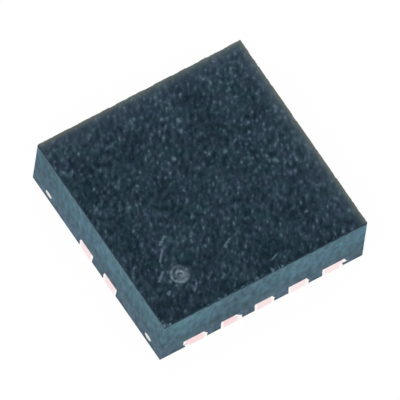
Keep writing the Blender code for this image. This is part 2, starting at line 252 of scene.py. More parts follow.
@dataclass(frozen=True)
class Finish:
    """One material, and the record's slot that it belongs to."""

    name: str = "finish"
    slot: str = ""

    def material(self) -> bpy.types.Material:
        """Makes the material.

        Returns:
            A material whose principled shader the finish feeds.
        """
        made = bpy.data.materials.new(self.name)
        made.use_nodes = True
        tree = made.node_tree
        tree.nodes.clear()
        shader = add_node(tree, "ShaderNodeBsdfPrincipled", self.inputs(Nodes(tree)))
        add_node(tree, "ShaderNodeOutputMaterial", {"Surface": shader.outputs["BSDF"]})
        return made

    def inputs(self, nodes: Nodes) -> Inputs:
        """What feeds the shader, by the names of its inputs. Each finish has its own way."""
        raise NotImplementedError


@dataclass(frozen=True)
class MouldedSkin(Finish):
    """Epoxy moulding compound, pressed against a spark-eroded tool.

    Carbon black and silica make it a matt blue grey. The tool leaves single crests, whose
    glints of light are painted into the colour as pale grains, two or three pixels wide, on a
    darker, softer ground.
    The ramp's places are shares of the surface, because "tone" is a rank.
    """

    name: str = "epoxy_compound_spark_eroded_skin"
    slot: str = "moulding_epoxy"
    tones: Ramp = (
        (0.01, "#11212b"),
        (0.06, "#17262f"),
        (0.25, "#1e2f39"),
        (0.50, "#23333e"),
        (0.75, "#293a46"),
        (0.90, "#334450"),
        (0.97, "#3f505c"),
        (1.0, "#546671"),
    )
    tints: Ramp = ((0.34, "#edfff8"), (0.5, "#fefeff"), (0.66, "#fff4ff"))
    worn: str = "#7f939d"
    broken: str = "#4e6c79"
    # Painted highlight along the rounded far edges, strongest at the edge itself.
    far_edge_highlight: Ramp = ((0.1, "#4a5865"), (0.3, "#4e5b65"), (0.5, "#5a6565"), (0.7, "#606864"), (1.0, "#6a6c5f"))
    specular: float = 0.06
    fine_grain: float = 0.02 * MM
    spread: float = 0.31
    spread_left: Span = (1.0, 0.25)
    patch: float = 0.20 * MM
    rough: Span = (0.78, 0.55)
    relief: float = 0.002 * MM

    def inputs(self, nodes: Nodes) -> Inputs:
        """What makes the shader the skin.

        Args:
            nodes: The material's nodes.

        Returns:
            A value or an output for each input that the skin sets.
        """
        place = nodes.point()
        tone = nodes.layer("tone")
        # Silica grains of about 20 micrometres break up the ground between the tool's crests.
        fine = nodes.grain(place, self.fine_grain, detail=1.0)
        spread = nodes.work_out("MULTIPLY_ADD", fine, 2.0 * self.spread, -self.spread)
        left = nodes.remap(tone, self.spread_left)
        share = nodes.work_out("MULTIPLY_ADD", spread, left, tone, clamp=True)
        # Painted highlight: the ramp's pale end is the crests' glints of light, painted over the compound's
        # own darker tone.
        colour = nodes.ramp(share, self.tones)
        # Resin-rich and filler-rich grains lean a little to green or to rose.
        tint = nodes.ramp(nodes.grain(place, self.patch, detail=3.0), self.tints)
        mixed = nodes.mix(1.0, colour, tint, "MULTIPLY")
        # The far edges take a painted highlight where they round over, the near ones are broken by
        # the blade, and the laser and the tray's marks are palest.
        hem = nodes.ramp(nodes.layer("far_edge_highlight"), self.far_edge_highlight)
        for layer, paint in (("far_edge_highlight", hem), ("broken", linear(self.broken)), ("worn", linear(self.worn))):
            mixed = nodes.mix(nodes.layer(layer), mixed, paint)
        return {
            "Base Color": mixed,
            "Roughness": nodes.remap(share, self.rough),
            "Normal": nodes.bump(fine, self.relief),
            "Specular IOR Level": self.specular,
        }


@dataclass(frozen=True)
class SawnCompound(Finish):
    """The same compound, cut through by a diamond blade.

    Cut silica makes it paler and greener than the skin. Painted light and shade give it a pale
    upper band and a bluer, darker lower one, with soft mottles where the blade tore grains out.
    """

    name: str = "epoxy_compound_diamond_sawn"
    slot: str = "moulding_epoxy"
    painted_light_bands: Ramp = (
        (0.0, "#4f6473"),
        (0.14, "#536a7a"),
        (0.32, "#4f6775"),
        (0.42, "#4b6675"),
        (0.50, "#4f6d7b"),
        (0.68, "#50707f"),
        (0.78, "#527381"),
        (0.90, "#577683"),
    )
    tints: Ramp = ((0.34, "#eefff2"), (0.5, "#ffffff"), (0.66, "#f3f0ff"))
    rind: str = "#213541"
    pale: str = "#8fa3a8"
    worn: str = "#7b919d"
    specular: float = 0.06
    height: Span = (0.0, 0.88 * MM)
    wander: float = 0.13
    rind_height: float = 0.828 * MM
    rind_tear: float = 0.09 * MM
    rind_blur: float = 0.008 * MM
    mottle: tuple[float, ...] = (0.085 * MM, 0.085 * MM, 0.14 * MM)
    streak: tuple[float, ...] = (0.4 * MM, 0.035 * MM, 0.035 * MM)
    streak_share: float = 0.05
    sweep: float = 0.8 * MM
    sweep_share: float = 0.5
    shades: Span = (0.58, 1.42)
    shaded_by: Span = (0.475, 1.075)
    speck: float = 0.04 * MM
    flecks: Span = (0.72, 0.84)
    fleck_share: float = 0.3
    rough: Span = (0.5, 0.72)
    relief: float = 0.004 * MM

    def inputs(self, nodes: Nodes) -> Inputs:
        """What makes the shader the sawn face.

        Args:
            nodes: The material's nodes.

        Returns:
            A value or an output for each input that the sawn face sets.
        """
        place = nodes.point()
        cut, up = nodes.cut_point()
        mottle = nodes.grain(cut, *self.mottle, detail=1.5)
        streak = nodes.grain(cut, *self.streak, detail=2.0)
        sweep = nodes.grain(place, self.sweep)
        speck = nodes.grain(place, self.speck)
        # The bands' borders wander by some 60 micrometres.
        wander = nodes.work_out("MULTIPLY_ADD", mottle, 2.0 * self.wander, -self.wander)
        level = nodes.work_out("ADD", nodes.remap(up, (0.0, 1.0), self.height), wander)
        # Painted light and shade: the face is painted paler up high and bluer and darker low down.
        band = nodes.ramp(level, self.painted_light_bands)
        # Mottles, the faintest streaks and slow sweeps shade the bands by about a tenth either way.
        fast = nodes.work_out("MULTIPLY_ADD", streak, self.streak_share, mottle)
        every = nodes.work_out("MULTIPLY_ADD", sweep, self.sweep_share, fast)
        shade = nodes.remap(every, self.shades, self.shaded_by)
        inputs = {0: band, "Scale": shade}
        shaded = add_node(nodes.tree, "ShaderNodeVectorMath", inputs, operation="SCALE").outputs[0]
        tinted = nodes.mix(1.0, shaded, nodes.ramp(speck, self.tints), "MULTIPLY")
        # A few cut silica grains show as pale specks.
        fleck = nodes.remap(speck, (0.0, self.fleck_share), self.flecks)
        flecked = nodes.mix(fleck, tinted, linear(self.pale))
        # The dark skin shows as a rind at the top, with a border that the blade tore. Where
        # "broken" is 1 the rind is gone.
        torn = nodes.work_out("MULTIPLY_ADD", mottle, self.rind_tear, up)
        border = self.rind_height + 0.5 * self.rind_tear
        skin = nodes.remap(torn, (0.0, 1.0), (border - self.rind_blur, border + self.rind_blur))
        left = nodes.work_out("SUBTRACT", skin, nodes.layer("broken"), clamp=True)
        edged = nodes.mix(left, flecked, linear(self.rind))
        return {
            "Base Color": nodes.mix(nodes.layer("worn"), edged, linear(self.worn)),
            "Roughness": nodes.remap(streak, self.rough),
            "Normal": nodes.bump(mottle, self.relief),
            "Specular IOR Level": self.specular,
        }


@dataclass(frozen=True)
class SawnCopper(Finish):
    """Lead frame copper, cut through by the same blade.

    Fresh copper under white light is a pale rose. Its side edges and foot are painted nearly
    white, partly burnished by the blade and partly a painted highlight, and the blade smears resin
    over a corner. Where the film layer rises from 0 to 1 the colour goes from a thin olive hem, a
    painted shadow along the copper's edge, to the full colour of the sawn compound.
    """

    name: str = "copper_diamond_sawn"
    slot: str = "plated_copper"
    tones: Ramp = ((0.3, "#f7cfd5"), (0.5, "#f9d8dc"), (0.7, "#fce3e7"))
    burnished_and_highlight: str = "#fffdfb"
    # A thin olive hem that is a painted shadow along the copper's edge, then the smeared resin.
    smear_and_hem_shadow: Ramp = ((0.0, "#5b5f50"), (0.45, "#4c5a58"), (0.9, "#4f6877"))
    covered: Span = (0.08, 0.4)
    streak: tuple[float, ...] = (0.1 * MM, 0.016 * MM, 0.016 * MM)
    rough: Span = (0.42, 0.62)
    relief: float = 0.001 * MM
    specular: float = 0.06

    def inputs(self, nodes: Nodes) -> Inputs:
        """What makes the shader the sawn copper.

        Args:
            nodes: The material's nodes.

        Returns:
            A value or an output for each input that the sawn copper sets.
        """
        cut, _ = nodes.cut_point()
        film = nodes.layer("film")
        streak = nodes.grain(cut, *self.streak, detail=2.0)
        # Nearly white edges: partly burnished copper, partly a painted highlight.
        metal = nodes.mix(nodes.layer("pale"), nodes.ramp(streak, self.tones), linear(self.burnished_and_highlight))
        # At its low end the film is a thin olive hem of painted shadow. Further in, it is smeared resin.
        cover = nodes.remap(film, (0.0, 1.0), self.covered)
        return {
            "Base Color": nodes.mix(cover, metal, nodes.ramp(film, self.smear_and_hem_shadow)),
            "Metallic": nodes.remap(cover, (1.0, 0.0)),
            "Roughness": nodes.remap(streak, self.rough),
            "Normal": nodes.bump(streak, self.relief, 0.3),
            "Specular IOR Level": self.specular,
        }


@dataclass(frozen=True)
class PolishedSilicon(Finish):
    """A converter die of polished silicon, with its circuit blocks under passivation.

    The blocks give thin-film greens and violets on a grey mirror.
    """

    name: str = "silicon_polished_passivated"
    slot: str = "silicon"
    blocks: Ramp = ((0.2, "#4b5160"), (0.4, "#575b6e"), (0.6, "#5f5a70"), (0.8, "#566a66"))
    block: float = 0.16 * MM
    rough: Span = (0.1, 0.2)

    def inputs(self, nodes: Nodes) -> Inputs:
        """What makes the shader the die.

        Args:
            nodes: The material's nodes.

        Returns:
            A value or an output for each input that the die sets.
        """
        inputs = {"Vector": nodes.scaled(nodes.point(), self.block), "Scale": 1.0}
        block = add_node(nodes.tree, "ShaderNodeTexVoronoi", inputs, distance="CHEBYCHEV").outputs
        tone = nodes.ramp(block[1], self.blocks)
        return {"Base Color": tone, "Roughness": nodes.remap(block[0], self.rough), "Metallic": 1.0}


@dataclass(frozen=True)
class GrainedFinish(Finish):
    """A finish whose tone, and maybe more, follows one fine grain."""

    tones: Ramp = ()
    size: float = 0.02 * MM
    detail: float = 1.0

    def inputs(self, nodes: Nodes) -> Inputs:
        """What feeds the shader: the grain's tone, and what else the finish lets follow it."""
        grain = nodes.grain(nodes.point(), self.size, detail=self.detail)
        return {"Base Color": nodes.ramp(grain, self.tones), **self.surface(nodes, grain)}

    def surface(self, nodes: Nodes, grain: Socket) -> Inputs:
        """What the grain or a plain value gives besides the tone."""
        raise NotImplementedError


@dataclass(frozen=True)
class ReleasedCompound(GrainedFinish):
    """The same compound, cast against the release film under the lead frame.

    The film's weave gives the underside a softer, finer grain than the top.
    """

    name: str = "epoxy_compound_film_released"
    slot: str = "moulding_epoxy"
    tones: Ramp = ((0.25, "#25333c"), (0.5, "#2e3e48"), (0.75, "#3a4b55"))
    size: float = 0.04 * MM
    detail: float = 3.0
    specular: float = 0.2

    def surface(self, nodes: Nodes, grain: Socket) -> Inputs:
        """A soft sheen, with the film's relief."""
        rough, relief = nodes.remap(grain, (0.5, 0.7)), nodes.bump(grain, 0.003 * MM)
        return {"Roughness": rough, "Normal": relief, "Specular IOR Level": self.specular}


@dataclass(frozen=True)
class MatteTin(GrainedFinish):
    """Matt tin plating on etched copper.

    Its crystals, some tens of micrometres wide, give a soft silver with faint clouds.
    """

    name: str = "copper_etched_matt_tin_plated"
    slot: str = "plated_copper"
    tones: Ramp = ((0.3, "#bfbcb6"), (0.5, "#cbc9c4"), (0.7, "#d9d7d2"))
    size: float = 0.035 * MM
    detail: float = 3.0

    def surface(self, nodes: Nodes, grain: Socket) -> Inputs:
        """Metal, with the crystals' relief."""
        rough, relief = nodes.remap(grain, (0.35, 0.6)), nodes.bump(grain, 0.002 * MM)
        return {"Roughness": rough, "Normal": relief, "Metallic": 1.0}


@dataclass(frozen=True)
class SilverEpoxy(GrainedFinish):
    """Die attach epoxy, full of silver flakes, as it was dispensed and cured.

    The flakes glint in a dull grey paste.
    """

    name: str = "epoxy_silver_filled_cured"
    slot: str = "silver_epoxy"
    tones: Ramp = ((0.3, "#8b8a87"), (0.55, "#a5a4a0"), (0.75, "#cfcec9"))
    size: float = 0.015 * MM

    def surface(self, nodes: Nodes, grain: Socket) -> Inputs:
        """Metal where a flake lies at the surface, and paste between."""
        return {"Metallic": nodes.remap(grain, (0.2, 0.8), (0.4, 0.6)), "Roughness": 0.5}


@dataclass(frozen=True)
class DrawnGold(GrainedFinish):
    """Fine gold wire, drawn through a diamond die.

    It is a clean deep yellow with the faintest change of tone along it.
    """

    name: str = "gold_drawn_wire"
    slot: str = "gold_wire"
    tones: Ramp = ((0.35, "#eeb653"), (0.65, "#f6ca70"))
    size: float = 0.02 * MM

    def surface(self, nodes: Nodes, grain: Socket) -> Inputs:
        """Bright metal."""
        return {"Metallic": 1.0, "Roughness": 0.22}


# Relief: how far each way of making a face left it below its nominal place


def ripple(x: float, y: float, size: float, seed: float) -> float:
    """A soft noise, from about -1 to 1, whose waves have a real size. Each seed gives another one."""
    return noise.noise((x / size, y / size, seed))


@dataclass(frozen=True)
class ErodedGrain:
    """The crests that the spark-eroded tool prints on the top, and how pale they are painted: their pale
    tips are painted glints.
    """

    width: float = 0.045 * MM
    length: float = 0.068 * MM
    turn: float = math.radians(57.8)
    crest_radius: float = 0.27
    widens: float = 0.13
    lowest_crest: float = 0.42
    ground: float = 0.36
    ground_pitch: float = 0.8
    fine_pitch: float = 1.9
    fine_share: float = 0.5
    # Which slice of the three-dimensional cells is printed, and what shuffles their heights.
    layer: float = 0.35
    shuffle: float = 61.0
    warp: float = 0.016 * MM
    warp_size: float = 0.12 * MM
    depth: float = 0.005 * MM
    drift_size: float = 0.35 * MM
    drift: float = 0.17
    paler_at: float = 0.6 * MM
    paler_over: float = 0.9 * MM
    paler_right: float = 0.22
    paler_back: float = 0.10
    paler_from: float = -0.4 * MM
    fades_over: float = 1.0 * MM
    darker_at: float = -0.9 * MM
    darker_over: float = 0.6 * MM
    darker_front: float = 0.10

    def crest(self, x: float, y: float) -> float:
        """How high the grain stands at a point of the top.

        Args:
            x: The point's place along the rows.
            y: Its place across them.

        Returns:
            About 0 on the soft ground between the crests, up to 1 on a high crest.
        """
        x += self.warp * ripple(x, y, self.warp_size, 21.0)
        y += self.warp * ripple(x, y, self.warp_size, 34.0)
        across = (-math.sin(self.turn) * x + math.cos(self.turn) * y) / self.width
        along = (math.cos(self.turn) * x + math.sin(self.turn) * y) / self.length
        distances, centres = noise.voronoi((across, along, self.layer))
        crests = 0.0
        for distance, centre in zip(distances, centres):
            height = self.lowest_crest + (1.0 - self.lowest_crest) * noise.cell(centre * self.shuffle) ** 3
            radius = self.crest_radius + self.widens * height
            crests += height * math.exp(-((distance / radius) ** 2))
        ground = noise.noise((across * self.ground_pitch, along * self.ground_pitch, 7.1))
        fine = noise.noise((across * self.fine_pitch, along * self.fine_pitch, 3.3))
        return crests + self.ground * (ground + self.fine_share * fine)

    def below(self, x: float, y: float) -> float:
        """How far the skin lies under the highest crests at a point."""
        return self.depth * (1.0 - min(1.0, max(0.0, self.crest(x, y))))

    def tone(self, x: float, y: float) -> float:
        """How pale a point is painted: its crest's painted glint, a slow drift, and a rise from the front to
        the far edges.

        Args:
            x: The point's place along the rows.
            y: Its place across them.

        Returns:
            A value that only has an order.
        """
        drift = ripple(x, y, self.drift_size, 5.0)
        fade = min(1.0, max(0.0, 1.0 + (y - self.paler_from) / self.fades_over))
        right = fade * max(0.0, (x - self.paler_at) / self.paler_over) ** 2
        back = max(0.0, (y - self.paler_at) / self.paler_over) ** 2
        front = max(0.0, (self.darker_at - y) / self.darker_over) ** 2
        rise = self.paler_right * right + self.paler_back * back - self.darker_front * front
        return self.crest(x, y) + self.drift * drift + rise


@dataclass(frozen=True)
class BladeMarks:
    """The streaks and tear-outs that the saw blade leaves on a side."""

    streak_height: float = 0.03 * MM
    streak_length: float = 0.5 * MM
    streak_depth: float = 0.0002 * MM
    pit: float = 0.05 * MM
    pit_depth: float = 0.006 * MM
    pit_level: float = 0.35

    def below(self, run: float, z: float, side: Side) -> float:
        """How far a sawn face lies under its nominal plane at a point.

        Args:
            run: The point's place along the cut.
            z: Its height.
            side: The side that it is on.

        Returns:
            A depth in metres.
        """
        seed = 11.3 * side.number
        streak = noise.noise((run / self.streak_length, z / self.streak_height, seed))
        pit = ripple(run, z, self.pit, seed + 40.0)
        return self.streak_depth * (0.5 + 0.5 * streak) + self.pit_depth * max(0.0, pit - self.pit_level)


@dataclass(frozen=True)
class TornArris:
    """The small chips along the upper edges, where the blade broke out, and the painted highlight along the
    far edges.
    """

    most: float = 0.11 * MM
    spacing: float = 0.018 * MM
    spared: float = 0.15
    stretch: float = 0.5 * MM
    everywhere: float = 0.25
    patchy: float = 0.8
    most_patchy: float = 1.3
    worst_at: float = 0.05 * MM
    worst_over: float = 0.4 * MM
    ragged: float = 0.018 * MM
    ragged_length: float = 0.12 * MM
    ragged_level: float = 0.1
    ragged_quick: float = 0.7
    quick_length: float = 0.4
    corner: float = 1.5 * MM
    corner_fade: float = 0.25 * MM
    edge_blur: float = 0.03 * MM
    most_broken: float = 0.75
    relief: float = 0.2
    # How far in from the far edges the painted highlight reaches.
    highlight_reach: float = 0.07 * MM

    def reach(self, run: float, side: Side) -> float:
        """How far a chip reaches back from the edge at a point along a side.

        Args:
            run: The point's place along the side.
            side: The side that it is on.

        Returns:
            A length in metres.
        """
        seed = 5.7 * side.number
        bite = max(0.0, noise.noise((run / self.spacing, 0.5, seed)) - self.spared)
        patchy = self.everywhere + self.patchy * max(0.0, noise.noise((run / self.stretch, 3.5, seed)))
        if side is Side.FRONT:
            patchy += math.exp(-(((run - self.worst_at) / self.worst_over) ** 2))
        return self.most * bite * min(self.most_patchy, patchy)

    def fall(self, run: float, side: Side) -> float:
        """How far the edge itself is worn back at a point along a side.

        Args:
            run: The point's place along the side.
            side: The side that it is on.

        Returns:
            A length in metres, which is larger on the sides that the blade left last.
        """
        seed = 5.7 * side.number + 60.0
        worn = self.relief * self.reach(run, side)
        if side in (Side.RIGHT, Side.BACK):
            slow = noise.noise((run / self.ragged_length, 0.5, seed))
            quick = noise.noise((run / (self.quick_length * self.ragged_length), 4.5, seed))
            whole = min(1.0, (self.corner - abs(run)) / self.corner_fade)
            uneven = max(0.0, self.ragged_level + slow + self.ragged_quick * quick)
            worn += self.ragged * max(0.0, whole) * uneven
        return worn

    def broken(self, run: float, gap: float, side: Side) -> float:
        """The share of the skin that is torn off at a distance from an upper edge."""
        torn = min(self.most_broken, max(0.0, (self.reach(run, side) - gap) / self.edge_blur))
        return torn if side in (Side.FRONT, Side.LEFT) else 0.0

    def far_edge_highlight(self, gap: float, side: Side) -> float:
        """How strong the painted highlight on the rounded far edges is at a distance from them: 1 at the
        edge itself.
        """
        share = math.exp(-max(0.0, gap) / self.highlight_reach)
        return share if side in (Side.RIGHT, Side.BACK) else 0.0


@dataclass(frozen=True)
class Scratch:
    """A short pale line or chip that handling left on the body."""

    start: tuple[float, float]
    finish: tuple[float, float]
    width: float = 0.014 * MM
    power: float = 0.88
    uneven_size: float = 0.03 * MM
    uneven: float = 0.5

    def distance(self, x: float, y: float) -> float:
        """How far a point of the top lies from the scratch.

        Args:
            x: The point's place along the rows.
            y: Its place across them.

        Returns:
            A length in metres.
        """
        start, finish = Vector(self.start), Vector(self.finish)
        line = finish - start
        share = (Vector((x, y)) - start).dot(line) / line.length_squared
        nearest = start + line * min(1.0, max(0.0, share))
        return (Vector((x, y)) - nearest).length

    def burn(self, x: float, y: float) -> float:
        """The share of the skin that the scratch covers: about its power on its line, 0 far from it."""
        skip = ripple(x, y, self.uneven_size, 9.0)
        return self.power * (1.0 + self.uneven * skip) * math.exp(-((self.distance(x, y) / self.width) ** 2))


@dataclass(frozen=True)
class PinMark:
    """Two shallow laser rings over terminal 1, one inside the other."""

    x: float = -0.930 * MM
    y: float = -0.951 * MM
    # Each ring: radius, half width, power, the way that it is brightest, and how one-sided.
    rings: tuple[tuple[float, float, float, float, float], ...] = (
        (0.112 * MM, 0.018 * MM, 0.37, math.radians(215.0), 0.6),
        (0.046 * MM, 0.018 * MM, 0.51, math.radians(48.0), 0.75),
    )
    uneven_size: float = 0.04 * MM
    uneven: float = 0.95
    depth: float = 0.014 * MM
    haze: float = 0.21
    bridge: float = math.radians(285.0)
    bridged: float = 1.1
    thinned: float = 0.7
    zone: float = 0.2 * MM

    def burn(self, x: float, y: float) -> float:
        """How strongly the laser struck a point of the top.

        Args:
            x: The point's place along the rows.
            y: Its place across them.

        Returns:
            A share, about 1 in the middle of a full line.
        """
        offset = Vector((x - self.x, y - self.y))
        distance = offset.length
        if distance > self.zone:
            return 0.0
        angle = math.atan2(offset.y, offset.x)
        lines = 0.0
        for radius, width, power, brightest, one_sided in self.rings:
            swell = 1.0 + one_sided * math.cos(angle - brightest)
            lines = max(lines, power * swell * math.exp(-(((distance - radius) / width) ** 2)))
        inside = self.haze if distance < self.rings[0][0] else 0.0
        facing = math.cos(angle - self.bridge)
        thicker = self.bridged * max(0.0, facing) ** 3 - self.thinned * max(0.0, -facing) ** 2
        joined = inside * (1.0 + thicker)
        speckle = ripple(x, y, self.uneven_size, 2.0)
        return (1.0 + self.uneven * speckle) * max(lines, joined)


# Sub-assemblies


def finished(name: str, mesh: bmesh.types.BMesh) -> bpy.types.Object:
    """Turns a bmesh into an object of the scene, at the origin.

    Args:
        name: The piece's name.
        mesh: Its shape, which is freed.

    Returns:
        The new object.
    """
    data = bpy.data.meshes.new(name)
    mesh.to_mesh(data)
    mesh.free()
    piece = bpy.data.objects.new(name, data)
    bpy.context.scene.collection.objects.link(piece)
    return piece


def merged_copy(node: bpy.types.Object) -> bmesh.types.BMesh:
    """The mesh of a CAD node, with its loose triangles joined.

    Args:
        node: The CAD node, which stays as it is.

    Returns:
        A closed bmesh.
    """
    mesh = bmesh.new()
    mesh.from_mesh(node.data)
    bmesh.ops.remove_doubles(mesh, verts=mesh.verts, dist=0.00001 * MM)
    return mesh


def of_kind(items: list, kind: type) -> list:
    """The vertices, the edges or the faces among what an operator made."""
    return [item for item in items if isinstance(item, kind)]


@dataclass
class MouldedBody:
    """The moulded and sawn epoxy body, with its pockets and its pin 1 mark."""

    node: bpy.types.Object
    cells: int = 208
    ring_step: float = 0.022 * MM
    inset: float = 0.0015 * MM
    reach_below: float = 0.05 * MM
    lid_cut: float = 0.75 * MM
    scratched: float = 1.25
    ranks: int = 150
    mark_zone: float = 0.18 * MM
    scratch_zone: float = 0.035 * MM
    front_zone: float = 0.06 * MM
    most_relief: float = 0.012 * MM
    skin_zone: float = 0.02 * MM
    edge_zone: float = 0.1 * MM
    corner_share: float = 0.5
    sharpest: float = 50.0
    grain: ErodedGrain = field(default_factory=ErodedGrain)
    blade: BladeMarks = field(default_factory=BladeMarks)
    arris: TornArris = field(default_factory=TornArris)
    mark: PinMark = field(default_factory=PinMark)
    scratches: tuple[Scratch, ...] = (
        Scratch((-0.819 * MM, -0.396 * MM), (-0.920 * MM, -0.474 * MM)),
        Scratch((-0.940 * MM, -0.546 * MM), (-1.057 * MM, -0.680 * MM)),
        Scratch((-1.102 * MM, -0.818 * MM), (-1.211 * MM, -0.910 * MM)),
        Scratch((-1.175 * MM, -1.101 * MM), (-1.211 * MM, -1.122 * MM)),
        Scratch((-0.810 * MM, -1.155 * MM), (-0.904 * MM, -1.249 * MM), power=0.55),
        Scratch((-0.242 * MM, -0.891 * MM), (-0.116 * MM, -0.832 * MM), power=0.5),
        Scratch((0.281 * MM, -1.310 * MM), (0.182 * MM, -1.351 * MM), power=0.65),
    )
    chips: tuple[Scratch, ...] = (
        Scratch((-1.500 * MM, -1.484 * MM), (-1.492 * MM, -1.472 * MM), 0.013 * MM, 0.9),
        Scratch((-1.424 * MM, -1.500 * MM), (-1.414 * MM, -1.500 * MM), 0.013 * MM, 0.9),
    )

    def __post_init__(self) -> None:
        """Takes the body's sizes from the CAD node."""
        self.low, self.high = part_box("mould_body")

    def build(self) -> bpy.types.Object:
        """Builds the body and dresses it.

        Returns:
            The finished piece.
        """
        materials = [MATERIALS[kind] for kind in (ReleasedCompound, MouldedSkin, SawnCompound)]
        block = finished("moulded_body", self.block())
        tool = finished("cavity_tool", self.cavity())
        for piece in (block, tool):
            for material in materials:
                piece.data.materials.append(material)
        cut = block.modifiers.new("cavity", "BOOLEAN")
        cut.operation, cut.solver, cut.object = "INTERSECT", "EXACT", tool
        settle(block)
        bpy.data.objects.remove(tool)
        self.paint(block.data)
        smooth(block.data, self.sharpest)
        return block

    def block(self) -> bmesh.types.BMesh:
        """The body's outside as a fine skin with its relief, closed below the underside.

        Returns:
            A closed bmesh that still has to take the pockets.
        """
        mesh = bmesh.new()
        bmesh.ops.create_grid(mesh, x_segments=self.cells, y_segments=self.cells, size=1.0)
        bmesh.ops.scale(mesh, vec=(self.high.x, self.high.y, 1.0), verts=mesh.verts)
        bmesh.ops.translate(mesh, vec=(0.0, 0.0, self.high.z), verts=mesh.verts)
        near = [face for face in mesh.faces if self.is_fine(face.calc_center_median())]
        edges = list({edge for face in near for edge in face.edges})
        bmesh.ops.subdivide_edges(mesh, edges=edges, cuts=1, use_grid_fill=True)
        for face in mesh.faces:
            face.material_index = Zone.SKIN
        rim = [edge for edge in mesh.edges if edge.is_boundary]
        floor = self.low.z - self.reach_below
        rings = math.ceil((self.high.z - floor) / self.ring_step)
        for _ in range(rings):
            made = bmesh.ops.extrude_edge_only(mesh, edges=rim)["geom"]
            corners = of_kind(made, bmesh.types.BMVert)
            bmesh.ops.translate(mesh, vec=(0.0, 0.0, (floor - self.high.z) / rings), verts=corners)
            rim = [edge for edge in of_kind(made, bmesh.types.BMEdge) if edge.is_boundary]
            for face in of_kind(made, bmesh.types.BMFace):
                face.material_index = Zone.SAWN
        base = bmesh.ops.contextual_create(mesh, geom=rim)["faces"]
        bmesh.ops.poke(mesh, faces=base)
        bmesh.ops.recalc_face_normals(mesh, faces=mesh.faces)
        for vertex in mesh.verts:
            vertex.co = self.worked(vertex.co)
        return mesh

    def is_fine(self, point: Vector) -> bool:
        """Whether the top needs a finer mesh at a point.

        Args:
            point: A point of the top.

        Returns:
            True at the mark, at the scratches and chips, and along the torn front edge.
        """
        marked = math.hypot(point.x - self.mark.x, point.y - self.mark.y) < self.mark_zone
        torn = point.y < self.front_zone - self.high.y
        lines = (*self.scratches, *self.chips)
        return marked or torn or any(line.distance(point.x, point.y) < self.scratch_zone for line in lines)

    def gap(self, point: Vector, side: Side) -> float:
        """How far a point lies inside the plane of a side."""
        return (self.high.x if side.value[0] else self.high.y) - point.dot(side.outwards)

    def worked(self, point: Vector) -> Vector:
        """Where a point of the plain block lies once it is moulded and sawn.

        Args:
            point: A point on the block's outside.

        Returns:
            Its new place, always a little inside the block.
        """
        moved = point.copy()
        deep = self.high.z - point.z
        for side in Side:
            gap = self.gap(point, side)
            run = point.dot(side.along)
            chip = self.arris.fall(run, side)
            if gap < self.inset:
                bite = max(0.0, chip - deep) * (self.corner_share if deep < self.inset else 1.0)
                moved -= side.outwards * (self.inset + self.blade.below(run, point.z, side) + bite)
            if deep < self.inset:
                moved.z -= max(0.0, chip - gap) * (self.corner_share if gap < self.inset else 1.0)
        if deep < self.inset:
            moved.z -= self.inset + self.grain.below(point.x, point.y)
            moved.z -= self.mark.depth * self.mark.burn(point.x, point.y)
        return moved

    def cavity(self) -> bmesh.types.BMesh:
        """The CAD body with its top drawn up, which gives the pockets and the underside.

        Returns:
            A closed bmesh, larger than the block but for what it cuts away.
        """
        mesh = merged_copy(self.node)
        parts = [*mesh.verts, *mesh.edges, *mesh.faces]
        cut = (0.0, 0.0, self.lid_cut)
        bmesh.ops.bisect_plane(mesh, geom=parts, plane_co=cut, plane_no=(0, 0, 1), clear_outer=True)
        rim = [edge for edge in mesh.edges if edge.is_boundary]
        lid = bmesh.ops.contextual_create(mesh, geom=rim)["faces"]
        raised = bmesh.ops.extrude_face_region(mesh, geom=lid)["geom"]
        bmesh.ops.delete(mesh, geom=lid, context="FACES_ONLY")
        corners = of_kind(raised, bmesh.types.BMVert)
        bmesh.ops.translate(mesh, vec=(0.0, 0.0, self.high.z), verts=corners)
        bmesh.ops.recalc_face_normals(mesh, faces=mesh.faces)
        for face in mesh.faces:
            face.material_index = Zone.RELEASED
        return mesh

    def paleness(self, x: float, y: float) -> float:
        """How pale a point of the top is painted, by its grain's painted glints and its scratches. It only
        has an order.
        """
        tone, covered = self.grain.tone(x, y), max(scratch.burn(x, y) for scratch in self.scratches)
        return tone + min(1.0, covered) * (self.scratched - tone)

    def rank(self, pale: np.ndarray) -> np.ndarray:
        """Turns paleness into the share of the top that is darker.

        Args:
            pale: How pale some points of the top are.

        Returns:
            For each point a share, 0 at the darkest place of the top and 1 at the palest.
        """
        across = np.linspace(-self.high.x, self.high.x, self.ranks)
        along = np.linspace(-self.high.y, self.high.y, self.ranks)
        levels = np.sort([self.paleness(x, y) for x in across for y in along])
        return np.interp(pale, levels, np.linspace(0.0, 1.0, len(levels)))

